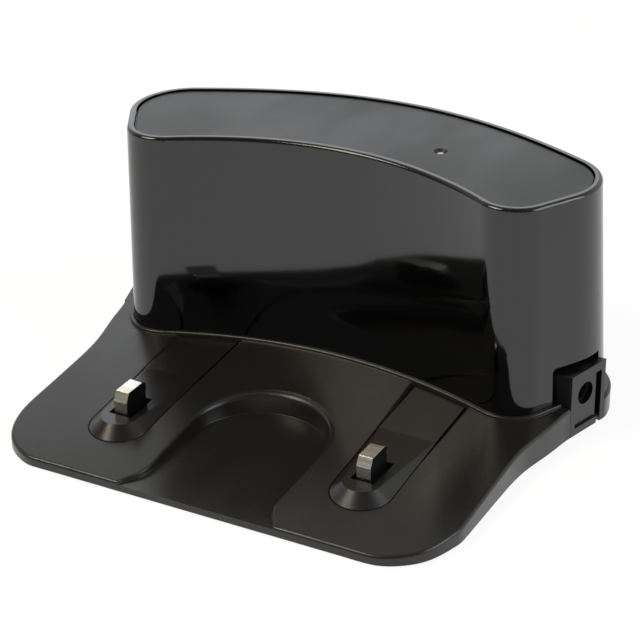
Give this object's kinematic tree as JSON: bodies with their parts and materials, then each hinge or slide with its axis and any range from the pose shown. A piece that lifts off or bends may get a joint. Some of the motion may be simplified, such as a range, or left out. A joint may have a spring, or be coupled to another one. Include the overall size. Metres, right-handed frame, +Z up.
{
  "type": "robot vacuum charging dock",
  "caption": "Charging dock: curved tower on a lobed base with a wheel recess and sprung charging contacts.",
  "frame": {"origin": "middle of the dock's box, on the plane its feet stand on", "axes": "+X to the dock's right seen from the front, +Y from the base's front edge to the back, +Z up"},
  "size_m": [0.1784, 0.1513, 0.0815],
  "materials": {
    "base_plastic": "fine satin grain",
    "strip_plastic": "satin",
    "tower_gloss": "high gloss",
    "panel_satin": "satin",
    "black_plastic": "plain moulded",
    "contact_metal": "nickel plated",
    "spring_steel": "drawn wire",
    "terminal_brass": "stamped",
    "screw_steel": "zinc plated",
    "foot_rubber": "matt",
    "lead_red": "insulated wire",
    "lead_black": "insulated wire",
    "board_laminate": "solder mask",
    "lens_clear": "frosted",
    "lamp_dark": "tinted"
  },
  "bodies": {
    "dock": {"base_top_cover": "base_plastic", "base_bottom_cover": "black_plastic", "tower_shell": "tower_gloss", "tower_top_panel": "panel_satin", "indicator_lens": "lens_clear", "indicator_lamp": "lens_clear", "inner_frame": "black_plastic", "main_board": "board_laminate", "beacon_board": "board_laminate", "capacitor": "black_plastic", "inductor": "black_plastic", "control_chip": "black_plastic", "lead_connector": "lens_clear", "beacon_baffle": "black_plastic", "inlet_frame": "black_plastic", "inlet_face_plate": "black_plastic", "inlet_socket": "black_plastic", "inlet_pin": "terminal_brass", "inlet_lead_negative": "lead_black", "inlet_lead_positive": "lead_red", "beacon_lamp_left": "lamp_dark", "beacon_lamp_middle": "lamp_dark", "beacon_lamp_right": "lamp_dark", "rubber_foot_front_left": "foot_rubber", "cover_screw_front_left": "screw_steel", "tower_screw_front_left": "screw_steel", "rubber_foot_rear_left": "foot_rubber", "cover_screw_rear_left": "screw_steel", "tower_screw_rear_left": "screw_steel", "rubber_foot_front_right": "foot_rubber", "cover_screw_front_right": "screw_steel", "tower_screw_front_right": "screw_steel", "rubber_foot_rear_right": "foot_rubber", "cover_screw_rear_right": "screw_steel", "tower_screw_rear_right": "screw_steel", "contact_strip_left": "strip_plastic", "contact_spring_left": "spring_steel", "contact_terminal_left": "terminal_brass", "contact_lead_left": "lead_black", "contact_strip_right": "strip_plastic", "contact_spring_right": "spring_steel", "contact_terminal_right": "terminal_brass", "contact_lead_right": "lead_red"},
    "contact_left": {"contact_block_left": "black_plastic", "contact_plate_left": "contact_metal"},
    "contact_right": {"contact_block_right": "black_plastic", "contact_plate_right": "contact_metal"}
  },
  "joints": [
    {"name": "contact_left_press", "type": "slide", "parent": "dock", "child": "contact_left", "axis": [0, 0, -1], "range_m": [0, 0.002], "stiffness_N_per_m": 500, "springref_m": -0.001, "deforming": ["contact_spring_left"]},
    {"name": "contact_right_press", "type": "slide", "parent": "dock", "child": "contact_right", "axis": [0, 0, -1], "range_m": [0, 0.002], "stiffness_N_per_m": 500, "springref_m": -0.001, "deforming": ["contact_spring_right"]}
  ]
}
